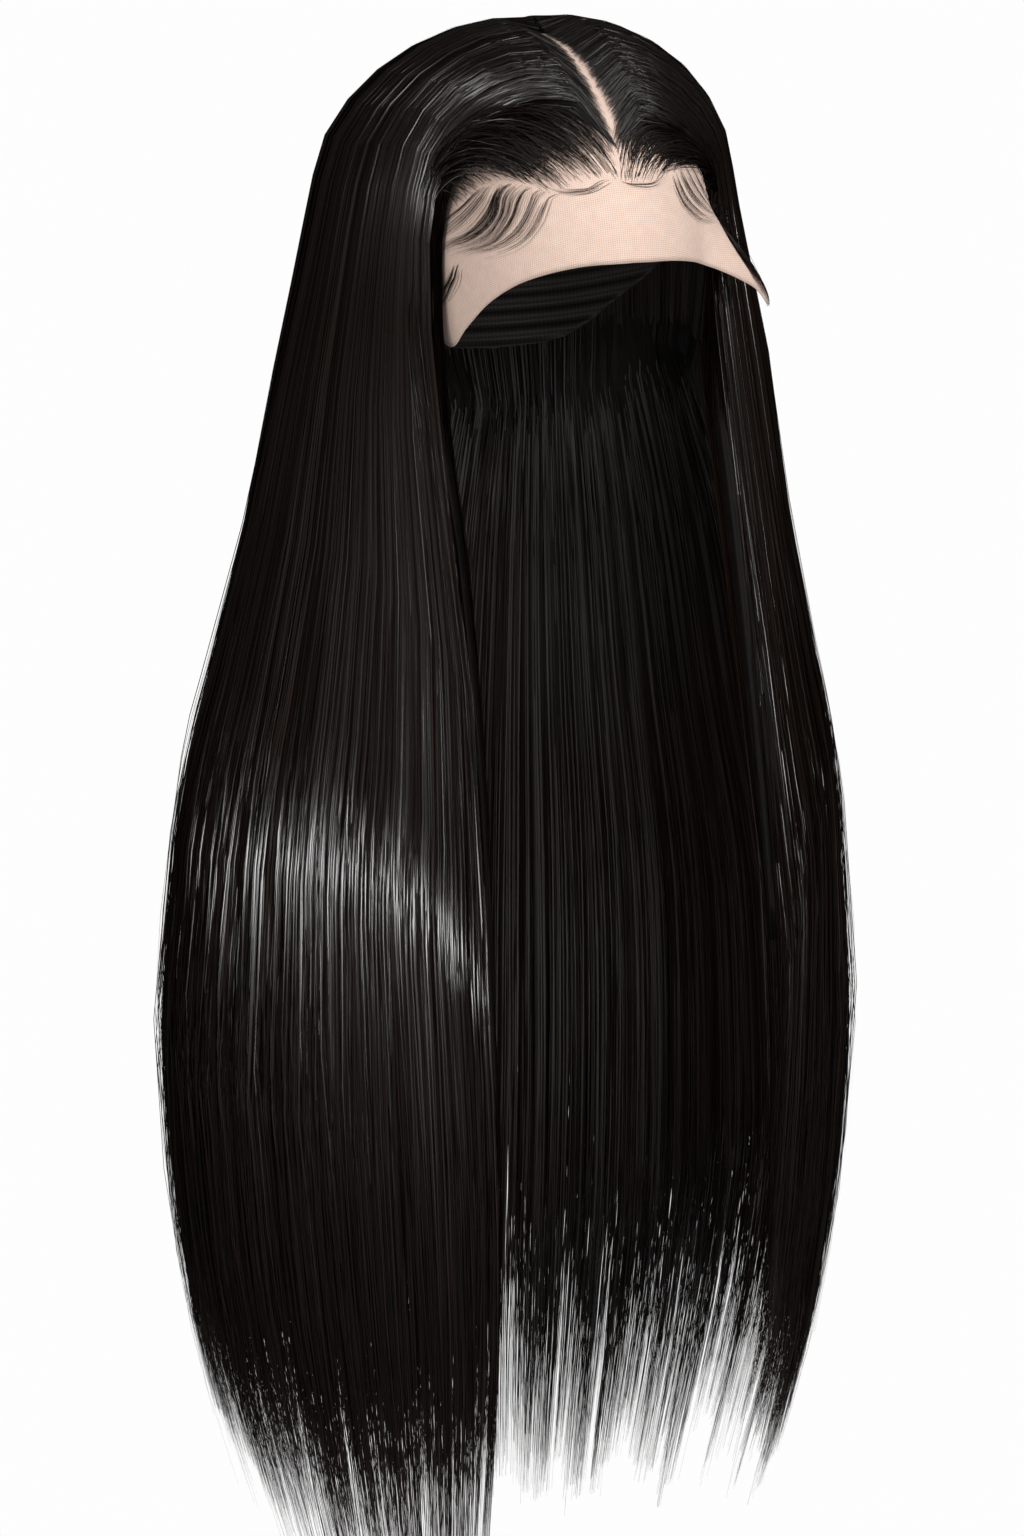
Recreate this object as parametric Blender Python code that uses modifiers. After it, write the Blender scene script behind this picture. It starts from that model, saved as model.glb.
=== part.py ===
"""A very long straight lace front wig, modelled in metres with +Z up.

The wig faces -Y and the wearer's right is -X. The origin is the inside of the crown, where the
cap sits on a head. The hair leaves a centre part, goes over the crown and hangs straight down.
"""

import math

import bpy
from mathutils import Vector

# The head form that the cap is shaped on: an egg with its widest level below the crown.
HEAD_HALF_WIDTH = 0.084
HEAD_FRONT = 0.112
HEAD_BACK = 0.085
HEAD_RISE = 0.125

# The lace, the cap and what keeps the pieces apart.
LACE_THICKNESS = 0.0010
CAP_THICKNESS = 0.0010
PIECE_GAP = 0.0003
ROOT_GAP = 0.0002
HAIR_SEAT = 0.0015
SEAM_ANGLE = 86.0
TAB_FLARE = 0.030
TAB_START = 34.0
TAB_PEAK = 60.0
TAB_END = 71.0

# The part: where the hairline and the crown lie on it, and how it leans.
HAIRLINE_Y = -0.101
ROLL_START_Y = -0.094
CROWN_Y = 0.024
PART_LEAN = -0.010
PART_HALF_WIDTH = 0.0019
CROWN_WHORL = 0.008

# The hair: how far it reaches down, sideways, forwards and backwards.
HAIR_DROP = 0.850
RIGHT_SPREAD = 0.219
LEFT_SPREAD = 0.185
FRONT_REACH = 0.100
BACK_REACH = 0.120
WIDEST_Y = 0.015
FALL_LEVEL = 0.095
HAIR_DEPTH = 0.060
EDGE_DEPTH = 0.013
PUFF = 0.0110
ROOT_HEIGHT = 0.0022
ROOT_SPREAD = 0.009
RIGHT_LIFT = 0.020
LEFT_LIFT = -0.004
RIGHT_SWEEP = 1.3
LEFT_SWEEP = 2.2
LEAST_HAIR = 0.0045
ROOT_SHARE = 0.03
TIP_THICKNESS = 0.0022

# Locks: their relief, and how far the notches between two tips reach up.
LOCK_RELIEF = 0.0028
LOCK_NOTCH = 0.085
TIP_SCATTER = 0.018

# Section of the fall at each level: the level as a share of HAIR_DROP, then for each side the
# front edge sideways and the widest point as shares of the side's spread and the front edge
# forwards as a share of FRONT_REACH, then the back as a share of BACK_REACH and the thickness
# as a share of HAIR_DEPTH.
SECTIONS = (
    # level  right_edge right_wide right_front  left_edge left_wide left_front  back  depth
    (0.112, 0.405, 0.605, 0.48, 0.455, 0.620, 0.28, 0.90, 1.00),
    (0.177, 0.432, 0.668, 0.56, 0.490, 0.710, 0.26, 0.92, 1.00),
    (0.308, 0.379, 0.774, 0.70, 0.540, 0.785, 0.42, 0.93, 0.58),
    (0.442, 0.357, 0.889, 0.84, 0.584, 0.870, 0.54, 0.96, 0.42),
    (0.578, 0.346, 0.998, 0.95, 0.627, 0.985, 0.58, 1.00, 0.34),
    (0.714, 0.336, 1.000, 1.00, 0.649, 1.000, 0.56, 1.00, 0.30),
    (0.853, 0.336, 0.910, 0.98, 0.616, 0.905, 0.48, 0.97, 0.25),
    (1.000, 0.354, 0.740, 0.90, 0.497, 0.710, 0.40, 0.90, 0.14),
)
SECTION_COLUMNS = {
    "right": (1, 2, 3),
    "left": (4, 5, 6),
}

# Hem of the hair round each side, from the front edge (0) to the middle of the back (1): how
# far down the tips reach, as a share of HAIR_DROP.
HEM = (
    # round  right  left
    (0.00, 0.975, 0.870),
    (0.12, 1.000, 0.915),
    (0.25, 0.980, 0.910),
    (0.38, 0.915, 0.870),
    (0.50, 0.850, 0.835),
    (0.65, 0.890, 0.880),
    (0.80, 0.945, 0.940),
    (1.00, 0.970, 0.970),
)

# Rim of the lace and cap round each side, in degrees from the middle of the forehead: how far
# it lies below the crown on each side, as a share of HEAD_RISE.
RIM = (
    # angle  right  left
    (0.0, 0.875, 0.875),
    (20.0, 0.890, 0.885),
    (38.0, 0.955, 0.935),
    (50.0, 1.050, 1.040),
    (60.0, 1.180, 1.170),
    (67.0, 1.270, 1.060),
    (77.0, 1.180, 0.990),
    (88.0, 0.990, 0.980),
    (100.0, 0.970, 0.970),
    (125.0, 1.180, 1.180),
    (150.0, 1.390, 1.390),
    (180.0, 1.440, 1.440),
)

# The panels of hair on a side: where each ends round the side, and its number of locks.
PANELS = (
    ("front", 0.00, 0.30, 6),
    ("side", 0.30, 0.62, 7),
    ("back", 0.62, 1.00, 8),
)
ROOT_TURN = 0.62

# Steps of the meshes along a strand and over the cap.
DOME_STEPS = 9
FALL_STEPS = 16
FALL_GROWTH = 1.5
RIM_STEPS = 12
LACE_COLUMNS = 26
CAP_COLUMNS = 22

FORM_CENTRE = Vector((0.0, 0.0, -HEAD_RISE))


def mix(a, b, share):
    """The value that lies the given share of the way from a to b."""
    return a + (b - a) * share


def ease(value):
    """A smooth step from 0 to 1 as value goes from 0 to 1."""
    value = min(1.0, max(0.0, value))
    return value * value * (3.0 - 2.0 * value)


def read_table(rows, column, at):
    """A column of a table at a value of its first column, on a smooth curve through the rows."""
    last = len(rows) - 2
    i = 0
    while i < last and rows[i + 1][0] < at:
        i += 1
    x0, x1 = rows[i][0], rows[i + 1][0]
    share = min(1.0, max(0.0, (at - x0) / (x1 - x0)))

    def slope(k):
        before, after = max(0, k - 1), min(len(rows) - 1, k + 1)
        return (rows[after][column] - rows[before][column]) / (rows[after][0] - rows[before][0])

    y0, y1 = rows[i][column], rows[i + 1][column]
    m0, m1 = slope(i) * (x1 - x0), slope(i + 1) * (x1 - x0)
    square, cube = share**2, share**3
    return (
        y0 * (2 * cube - 3 * square + 1)
        + m0 * (cube - 2 * square + share)
        + y1 * (3 * square - 2 * cube)
        + m1 * (cube - square)
    )


def form_depth(y):
    """How far the head form reaches forwards or backwards from the crown."""
    return HEAD_FRONT if y < 0 else HEAD_BACK


def form_height(x, y):
    """Height of the head form's surface over a point of the ground plan."""
    rest = 1.0 - (x / HEAD_HALF_WIDTH) ** 2 - (y / form_depth(y)) ** 2
    return -HEAD_RISE + HEAD_RISE * math.sqrt(max(0.0, rest))


def form_radius(way):
    """Distance from the form's centre to its surface along a unit vector."""
    x = way.x / HEAD_HALF_WIDTH
    y = way.y / form_depth(way.y)
    z = way.z / HEAD_RISE
    return 1.0 / math.sqrt(x * x + y * y + z * z)


def rim_point(angle):
    """Point of the rim on the form, at an angle in degrees from the forehead's middle."""
    z = -read_table(RIM, 1 if angle < 0 else 2, abs(angle)) * HEAD_RISE
    ring = math.sqrt(1.0 - ((z + HEAD_RISE) / HEAD_RISE) ** 2)
    turn = math.radians(angle)
    depth = HEAD_FRONT if abs(angle) < 90 else HEAD_BACK
    return Vector((HEAD_HALF_WIDTH * math.sin(turn) * ring, -depth * math.cos(turn) * ring, z))


def cap_point(angle, share):
    """Point of the form on the line from the crown (0) down to the rim (1)."""
    crown = Vector((0.0, CROWN_Y, form_height(0.0, CROWN_Y))) - FORM_CENTRE
    rim = rim_point(angle) - FORM_CENTRE
    way = crown.normalized().slerp(rim.normalized(), share)
    return FORM_CENTRE + way * form_radius(way)


def flare(angle, share):
    """How far the free ear tab on the wearer's left stands off the form."""
    forward = ease((angle - TAB_START) / (TAB_PEAK - TAB_START))
    behind = 1.0 - ease((angle - TAB_PEAK) / (TAB_END - TAB_PEAK))
    return TAB_FLARE * forward * behind * ease((share - 0.72) / 0.28)


def lace_point(angle, share):
    """Point of the lace's inner face."""
    point = cap_point(angle, share)
    outward = Vector((point.x, point.y * 0.35, 0.0)).normalized()
    return point + outward * flare(angle, share)


def section_point(side, round_share, drop):
    """Outer point of the fall at a level, from the front edge (0) to the middle back (1)."""
    edge_column, wide_column, front_column = SECTION_COLUMNS[side]
    level = drop / HAIR_DROP
    spread = RIGHT_SPREAD if side == "right" else LEFT_SPREAD
    edge = read_table(SECTIONS, edge_column, level) * spread
    wide = read_table(SECTIONS, wide_column, level) * spread
    front = -read_table(SECTIONS, front_column, level) * FRONT_REACH
    back = read_table(SECTIONS, 7, level) * BACK_REACH
    if round_share < 0.5:
        turn = round_share * math.pi
        x = mix(edge, wide, math.sin(turn))
        y = mix(WIDEST_Y, front, math.cos(turn))
    else:
        turn = (round_share - 0.5) * math.pi
        x = wide * math.cos(turn)
        y = mix(WIDEST_Y, back, math.sin(turn))
    sign = -1.0 if side == "right" else 1.0
    return Vector((sign * x, y, -drop))


def root_point(side, round_share):
    """Where the strands leave the part, or the whorl at the crown, on the form."""
    sign = -1.0 if side == "right" else 1.0
    if round_share < ROOT_TURN:
        along = round_share / ROOT_TURN
        y = mix(ROLL_START_Y, CROWN_Y, along)
        x = PART_LEAN * (y - HAIRLINE_Y) / (CROWN_Y - HAIRLINE_Y) + sign * PART_HALF_WIDTH
    else:
        turn = (round_share - ROOT_TURN) / (1.0 - ROOT_TURN) * math.pi / 2
        x = PART_LEAN + sign * (PART_HALF_WIDTH + CROWN_WHORL * math.sin(turn)) * math.cos(turn)
        y = CROWN_Y + CROWN_WHORL * math.sin(turn)
    return Vector((x, y, form_height(x, y)))


def lift(side, round_share):
    """How far the roll of hair over the temple stands up from the plain dome."""
    height = RIGHT_LIFT if side == "right" else LEFT_LIFT
    return height * (1.0 - ease(round_share / 0.45))


def dome_point(side, round_share, turn):
    """Outer point over the crown, from the root (0) to the level where the hair falls (pi/2)."""
    root = root_point(side, round_share)
    foot = section_point(side, round_share, FALL_LEVEL)
    out = math.sin(turn)
    top = root.z + PUFF
    x = mix(root.x, foot.x, out)
    y = mix(root.y, foot.y, out ** (RIGHT_SWEEP if side == "right" else LEFT_SWEEP))
    z = mix(foot.z, top, math.cos(turn)) + lift(side, round_share) * math.sin(2.0 * turn)
    away = math.hypot(x - root.x, y - root.y)
    dip = (PUFF - HAIR_SEAT - CAP_THICKNESS - ROOT_HEIGHT) * math.exp(-away / ROOT_SPREAD)
    return Vector((x, y, z - dip))


def cap_reach(point):
    """Centre line point beside a point, the unit vector to it, and the cap's outer radius."""
    if point.z > -HEAD_RISE:
        centre = FORM_CENTRE
        shrink = 1.0
    else:
        centre = Vector((0.0, 0.0, point.z))
        below = min(1.0, (-HEAD_RISE - point.z) / HEAD_RISE)
        shrink = math.sqrt(max(0.0, 1.0 - below * below))
    way = (point - centre).normalized()
    radius = form_radius(way) * shrink
    if shrink > 0.0:
        radius += CAP_THICKNESS
    return centre, way, radius


def hair_faces(side, round_share, outer, drop_share, relief):
    """The outer and the inner point of the hair at an outer point of the plain surface."""
    centre, way, cap_radius = cap_reach(outer)
    off_root = min(1.0, drop_share / ROOT_SHARE)
    if cap_radius > 0.0:
        cap_radius += mix(ROOT_GAP, HAIR_SEAT, off_root)
    least = mix(ROOT_HEIGHT, LEAST_HAIR, off_root)
    radius = max((outer - centre).length, cap_radius + least) + relief
    depth = read_table(SECTIONS, 8, max(SECTIONS[0][0], -outer.z / HAIR_DROP)) * HAIR_DEPTH
    depth = mix(EDGE_DEPTH, depth, ease(round_share / 0.28))
    depth = mix(depth, TIP_THICKNESS, ease((drop_share - 0.72) / 0.28))
    inner = max(cap_radius, radius - depth)
    return centre + way * radius, centre + way * inner


def lock_wave(column):
    """1 on the middle of a lock and -1 in the groove beside it."""
    return 1.0 if column % 2 else -1.0


def panel_column(side, first, last, locks, column):
    """Outer and inner points of one column of a panel, from the root to the tip."""
    round_share = mix(first, last, column / (2.0 * locks))
    hem = read_table(HEM, 1 if side == "right" else 2, round_share) * HAIR_DROP
    scatter = TIP_SCATTER * math.sin(11.0 * round_share * locks + 2.0 * first)
    tip = hem + (scatter if lock_wave(column) > 0 else -LOCK_NOTCH)
    outer, inner = [], []
    for step in range(DOME_STEPS):
        turn = (step / DOME_STEPS) ** 1.2 * math.pi / 2
        plain = dome_point(side, round_share, turn)
        drop_share = 0.1 * step / DOME_STEPS
        relief = 0.3 * LOCK_RELIEF * lock_wave(column) * step / DOME_STEPS
        faces = hair_faces(side, round_share, plain, drop_share, relief)
        outer.append(faces[0])
        inner.append(faces[1])
    for step in range(FALL_STEPS + 1):
        share = (step / FALL_STEPS) ** FALL_GROWTH
        plain_drop = mix(FALL_LEVEL, hem, share)
        drop = plain_drop + (tip - hem) * ease((share - 0.70) / 0.30)
        plain = section_point(side, round_share, drop)
        relief = LOCK_RELIEF * lock_wave(column) * mix(0.3, 1.0, ease(share))
        faces = hair_faces(side, round_share, plain, mix(0.1, 1.0, share), relief)
        outer.append(faces[0])
        inner.append(faces[1])
    return outer, inner


def inset(columns):
    """Moves the first and last column of a grid inwards, to part it from its neighbours."""
    for edge, beside in ((0, 1), (-1, -2)):
        for row, point in enumerate(columns[edge]):
            step = columns[beside][row] - point
            columns[edge][row] = point + step.normalized() * PIECE_GAP


def grid_faces(columns, rows, start, flip):
    """Quads of a grid whose points are numbered column after column."""
    faces = []
    for column in range(columns - 1):
        for row in range(rows - 1):
            a = start + column * rows + row
            quad = (a, a + 1, a + rows + 1, a + rows)
            faces.append(quad[::-1] if flip else quad)
    return faces


def wall_faces(loop, shift, flip):
    """Quads that join a line of points to the same line of the other face."""
    faces = []
    for a, b in zip(loop, loop[1:]):
        quad = (a, b, b + shift, a + shift)
        faces.append(quad[::-1] if flip else quad)
    return faces


def add_object(name, points, faces, collection, material):
    """A smooth mesh object in the collection."""
    mesh = bpy.data.meshes.new(name)
    mesh.from_pydata([tuple(p) for p in points], [], faces)
    mesh.validate()
    mesh.shade_smooth()
    mesh.set_sharp_from_angle(angle=math.radians(50))
    obj = bpy.data.objects.new(name, mesh)
    mesh.materials.append(material)
    collection.objects.link(obj)
    return obj


def make_material(name, colour, roughness):
    """A plain finish with a colour and a roughness."""
    material = bpy.data.materials.new(name)
    material.use_nodes = True
    shader = material.node_tree.nodes["Principled BSDF"]
    shader.inputs["Base Color"].default_value = (*colour, 1.0)
    shader.inputs["Roughness"].default_value = roughness
    shader.inputs["Metallic"].default_value = 0.0
    return material


def make_shell(name, point_at, angles, first, last, thickness, collection, material):
    """A thin shell whose inner face lies on the head form."""
    rows = RIM_STEPS + 1
    shares = [mix(first, last, row / RIM_STEPS) for row in range(rows)]
    columns = [[point_at(angle, share) for share in shares] for angle in angles]
    inset(columns)
    points = [point for column in columns for point in column]
    faces = grid_faces(len(angles), rows, 0, True)
    shell = add_object(name, points, faces, collection, material)
    solid = shell.modifiers.new("thickness", "SOLIDIFY")
    solid.thickness = thickness
    solid.offset = 1.0
    solid.use_even_offset = True
    return shell


def make_lace_front(collection, material):
    """The lace from ear to ear, over the forehead and back along the part."""
    angles = [mix(-SEAM_ANGLE, SEAM_ANGLE, i / LACE_COLUMNS) for i in range(LACE_COLUMNS + 1)]
    make_shell(
        "lace_front", lace_point, angles, 0.02, 1.0, LACE_THICKNESS, collection, material
    )


def make_cap(collection, material):
    """The net cap behind the lace, down to the nape."""
    span = 360.0 - 2.0 * SEAM_ANGLE
    angles = [SEAM_ANGLE + span * i / CAP_COLUMNS for i in range(CAP_COLUMNS + 1)]
    angles = [angle - 360.0 if angle > 180.0 else angle for angle in angles]
    make_shell("cap", cap_point, angles, 0.06, 1.0, CAP_THICKNESS, collection, material)


def make_panel(side, name, first, last, locks, collection, material):
    """One panel of hair: a closed loft of columns from the root to the tips."""
    outer, inner = [], []
    for column in range(2 * locks + 1):
        outside, inside = panel_column(side, first, last, locks, column)
        outer.append(outside)
        inner.append(inside)
    inset(outer)
    inset(inner)
    columns, rows = len(outer), len(outer[0])
    count = columns * rows
    flip = side == "right"
    points = [p for column in outer for p in column] + [p for column in inner for p in column]
    faces = grid_faces(columns, rows, 0, flip) + grid_faces(columns, rows, count, not flip)
    front = list(range(rows))
    back = [(columns - 1) * rows + row for row in range(rows)]
    root = [column * rows for column in range(columns)]
    tips = [column * rows + rows - 1 for column in range(columns)]
    faces += wall_faces(front, count, not flip) + wall_faces(back, count, flip)
    faces += wall_faces(root, count, flip) + wall_faces(tips, count, not flip)
    add_object(f"hair_{side}_{name}", points, faces, collection, material)


def main():
    """Builds the whole wig."""
    for obj in list(bpy.data.objects):
        bpy.data.objects.remove(obj)
    collection = bpy.data.collections.new("lace_front_wig")
    bpy.context.scene.collection.children.link(collection)
    lace = make_material("nude_lace", (0.78, 0.58, 0.46), 0.75)
    net = make_material("dark_net", (0.018, 0.014, 0.012), 0.85)
    hair = make_material("dark_hair", (0.012, 0.008, 0.006), 0.38)
    make_lace_front(collection, lace)
    make_cap(collection, net)
    for side in ("right", "left"):
        for name, first, last, locks in PANELS:
            make_panel(side, name, first, last, locks, collection, hair)


main()
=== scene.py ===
"""Looks of a very long straight lace front wig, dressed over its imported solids.

It faces -Y and the wearer's right is -X. The hair follows the surface of the solid panels: each
strand has a place round its side, from the front edge (0) to the middle of the back (1), and a
place along its length, from the part (0) over the crown (1) down to the tip (2).
"""

import math

import bpy
import numpy as np
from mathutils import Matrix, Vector


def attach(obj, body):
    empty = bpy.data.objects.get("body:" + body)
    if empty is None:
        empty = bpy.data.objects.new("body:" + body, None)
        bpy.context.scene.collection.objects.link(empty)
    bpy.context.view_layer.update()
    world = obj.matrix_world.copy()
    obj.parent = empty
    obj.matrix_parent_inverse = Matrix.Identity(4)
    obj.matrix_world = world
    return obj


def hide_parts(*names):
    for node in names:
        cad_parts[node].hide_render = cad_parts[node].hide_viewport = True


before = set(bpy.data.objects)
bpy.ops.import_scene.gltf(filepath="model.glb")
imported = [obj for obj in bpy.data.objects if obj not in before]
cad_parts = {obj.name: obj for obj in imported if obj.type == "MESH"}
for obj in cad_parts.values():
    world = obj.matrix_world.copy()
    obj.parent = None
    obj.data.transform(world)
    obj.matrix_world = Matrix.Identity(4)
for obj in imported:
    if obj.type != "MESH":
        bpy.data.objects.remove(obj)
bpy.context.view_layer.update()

# The head form and the hair, with the same values as the solids.
HALF_WIDTH, FRONT, BACK, RISE = 0.084, 0.112, 0.085, 0.125
CAP_THICKNESS, ROOT_GAP, HAIR_SEAT = 0.0010, 0.0002, 0.0015
SEAM_ANGLE = 86.0
TAB_FLARE, TAB_START, TAB_PEAK, TAB_END = 0.030, 34.0, 60.0, 71.0
HAIRLINE_Y, ROLL_START_Y, CROWN_Y, PART_LEAN = -0.101, -0.094, 0.024, -0.010
PART_HALF_WIDTH, WHORL, ROOT_TURN = 0.0019, 0.008, 0.62
HAIR_DROP, FALL_LEVEL, WIDEST_Y = 0.850, 0.095, 0.015
SPREAD = {"right": 0.219, "left": 0.185}
FRONT_REACH, BACK_REACH = 0.100, 0.120
HAIR_DEPTH, EDGE_DEPTH, TIP_THICKNESS = 0.060, 0.013, 0.0022
PUFF, ROOT_HEIGHT, ROOT_SPREAD, LEAST_HAIR, ROOT_SHARE = 0.0110, 0.0022, 0.009, 0.0045, 0.03
LIFT = {"right": 0.020, "left": -0.004}
SWEEP = {"right": 1.3, "left": 2.2}
SECTIONS = np.array((
    # level  right_edge right_wide right_front  left_edge left_wide left_front  back  depth
    (0.112, 0.425, 0.605, 0.48, 0.455, 0.620, 0.28, 0.90, 1.00),
    (0.177, 0.450, 0.668, 0.56, 0.490, 0.710, 0.26, 0.92, 1.00),
    (0.308, 0.391, 0.774, 0.70, 0.540, 0.785, 0.42, 0.93, 0.58),
    (0.442, 0.357, 0.889, 0.84, 0.584, 0.870, 0.54, 0.96, 0.42),
    (0.578, 0.346, 0.998, 0.95, 0.627, 0.985, 0.58, 1.00, 0.34),
    (0.714, 0.336, 1.000, 1.00, 0.649, 1.000, 0.56, 1.00, 0.30),
    (0.853, 0.336, 0.910, 0.98, 0.616, 0.905, 0.48, 0.97, 0.25),
    (1.000, 0.354, 0.740, 0.90, 0.497, 0.710, 0.40, 0.90, 0.14),
))
COLUMNS = {"right": (1, 2, 3), "left": (4, 5, 6)}
HEM = np.array((
    (0.00, 0.975, 0.870),
    (0.12, 1.000, 0.915),
    (0.25, 0.980, 0.910),
    (0.38, 0.915, 0.870),
    (0.50, 0.850, 0.835),
    (0.65, 0.890, 0.880),
    (0.80, 0.945, 0.940),
    (1.00, 0.970, 0.970),
))
RIM = np.array((
    (0.0, 0.875, 0.875),
    (20.0, 0.890, 0.885),
    (38.0, 0.955, 0.935),
    (50.0, 1.050, 1.040),
    (60.0, 1.180, 1.170),
    (67.0, 1.270, 1.060),
    (77.0, 1.180, 0.990),
    (88.0, 0.990, 0.980),
    (100.0, 0.970, 0.970),
    (125.0, 1.180, 1.180),
    (150.0, 1.390, 1.390),
    (180.0, 1.440, 1.440),
))
# How far the longest wisps hang below the solid hair, at the same places as its hem.
WISPS = np.array((
    (0.00, -0.010, 0.030),
    (0.12, -0.010, 0.020),
    (0.25, 0.004, 0.036),
    (0.38, 0.036, 0.070),
    (0.50, 0.045, 0.085),
    (0.65, 0.045, 0.070),
    (0.80, 0.035, 0.045),
    (1.00, 0.025, 0.025),
))
SIGN = {"right": -1.0, "left": 1.0}
PANELS = (("front", 0.00, 0.30), ("side", 0.30, 0.62), ("back", 0.62, 1.00))
CENTRE = np.array((0.0, 0.0, -RISE))
# The two sides pass a little over each other at the middle of the back.
MIDDLE_BACK = 1.0006

# How the hair is dressed.
STRANDS = 2850
STRAND_WIDTH = 0.00052
LOCKS = 420
BEND_SLOPE, BEND_ROUND, BEND_REACH = 0.105, 0.022, 0.065
SWIRL, SWIRL_PLACE = 0.050, 0.14
LACE_SHEET = 0.00045
LACE_PITCH = 0.0011
# The part opens in front of this place round the side, and closes within the next stretch.
OPEN_PART, CLOSING = 0.42, 0.10
# How far down any strand or lock may reach, and how far apart two places are when the way from one
# strand to the next is measured.
LOWEST_STRAND, LOWEST_LOCK = 0.878, 0.870
BESIDE = 0.004
# Strands cross the middle of the back up to this place.
LAST_STRAND = 1.003

# The photograph and the camera that matches it, in pixels, degrees and metres.
PHOTO_WIDTH, PHOTO_HEIGHT = 1024, 1536
CAMERA_AZIMUTH, CAMERA_ELEVATION, CAMERA_ANGLE, CAMERA_DISTANCE = -23.0, 12.5, 15.04, 3.2
CAMERA_TARGET = Vector((-0.0187, 0.0079, -0.4022))


def mix(a, b, share):
    """From a (share 0) to b (share 1)."""
    return a + (b - a) * share


def ease(value):
    """A smooth step from 0 to 1, flat at both ends."""
    value = np.clip(value, 0.0, 1.0)
    return value * value * (3.0 - 2.0 * value)


def read_table(rows, column, at):
    """A column of a table at values of its first column, on a smooth curve through the rows."""
    x, y = rows[:, 0], rows[:, column]
    slope = np.empty_like(y)
    slope[1:-1] = (y[2:] - y[:-2]) / (x[2:] - x[:-2])
    slope[0] = (y[1] - y[0]) / (x[1] - x[0])
    slope[-1] = (y[-1] - y[-2]) / (x[-1] - x[-2])
    i = np.clip(np.searchsorted(x[1:], at), 0, len(x) - 2)
    span = x[i + 1] - x[i]
    share = np.clip((at - x[i]) / span, 0.0, 1.0)
    square, cube = share**2, share**3
    return (
        y[i] * (2 * cube - 3 * square + 1)
        + slope[i] * span * (cube - 2 * square + share)
        + y[i + 1] * (3 * square - 2 * cube)
        + slope[i + 1] * span * (cube - square)
    )


def stack(x, y, z):
    """Points from their coordinates."""
    return np.stack(np.broadcast_arrays(x, y, z), axis=-1)


def length_of(vectors):
    """Lengths, with an axis of their own."""
    return np.sqrt((vectors * vectors).sum(-1))[..., None]


def unit(vectors):
    """The same ways, of length 1."""
    return vectors / np.maximum(length_of(vectors), 1e-12)


def form_height(x, y):
    """Height of the head form's surface over a point of the ground plan."""
    rest = 1.0 - (x / HALF_WIDTH) ** 2 - (y / np.where(y < 0, FRONT, BACK)) ** 2
    return -RISE + RISE * np.sqrt(np.maximum(0.0, rest))


def form_radius(way):
    """Distance from the form's centre to its surface along unit vectors."""
    x = way[..., 0] / HALF_WIDTH
    y = way[..., 1] / np.where(way[..., 1] < 0, FRONT, BACK)
    z = way[..., 2] / RISE
    return 1.0 / np.sqrt(x * x + y * y + z * z)


def rim_point(angle):
    """Points of the rim on the form, at angles in degrees from the forehead's middle."""
    low = np.where(
        angle < 0, read_table(RIM, 1, np.abs(angle)), read_table(RIM, 2, np.abs(angle))
    )
    z = -low * RISE
    ring = np.sqrt(1.0 - ((z + RISE) / RISE) ** 2)
    turn = np.radians(angle)
    depth = np.where(np.abs(angle) < 90, FRONT, BACK)
    return stack(HALF_WIDTH * np.sin(turn) * ring, -depth * np.cos(turn) * ring, z)


def cap_point(angle, share):
    """Points of the form on the line from the crown (0) down to the rim (1)."""
    angle, share = np.broadcast_arrays(angle, share)
    crown = unit(np.array((0.0, CROWN_Y, float(form_height(0.0, CROWN_Y)))) - CENTRE)
    rim = unit(rim_point(angle) - CENTRE)
    arc = np.arccos(np.clip((rim * crown).sum(-1), -1, 1))
    way = np.sin((1 - share) * arc)[..., None] * crown + np.sin(share * arc)[..., None] * rim
    way = unit(way)
    return CENTRE + way * form_radius(way)[..., None]


def flare(angle, share):
    """How far the free ear tab on the wearer's left stands off the form."""
    forward = ease((angle - TAB_START) / (TAB_PEAK - TAB_START))
    behind = 1.0 - ease((angle - TAB_PEAK) / (TAB_END - TAB_PEAK))
    return TAB_FLARE * forward * behind * ease((share - 0.72) / 0.28)


def lace_point(angle, share):
    """Points of the lace's inner face."""
    point = cap_point(angle, share)
    outward = unit(point * np.array((1.0, 0.35, 0.0)))
    return point + outward * np.broadcast_to(flare(angle, share), point.shape[:-1])[..., None]


def section_point(side, q, drop):
    """Outer points of the fall at a level, from the front edge (0) to the middle back (1)."""
    edge_column, wide_column, front_column = COLUMNS[side]
    level = drop / HAIR_DROP
    edge = read_table(SECTIONS, edge_column, level) * SPREAD[side]
    wide = read_table(SECTIONS, wide_column, level) * SPREAD[side]
    front = -read_table(SECTIONS, front_column, level) * FRONT_REACH
    back = read_table(SECTIONS, 7, level) * BACK_REACH
    ahead = q < 0.5
    turn = np.where(ahead, q, q - 0.5) * np.pi
    x = np.where(ahead, mix(edge, wide, np.sin(turn)), wide * np.cos(turn))
    y = np.where(ahead, mix(WIDEST_Y, front, np.cos(turn)), mix(WIDEST_Y, back, np.sin(turn)))
    return stack(SIGN[side] * x, y, -drop)


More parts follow.
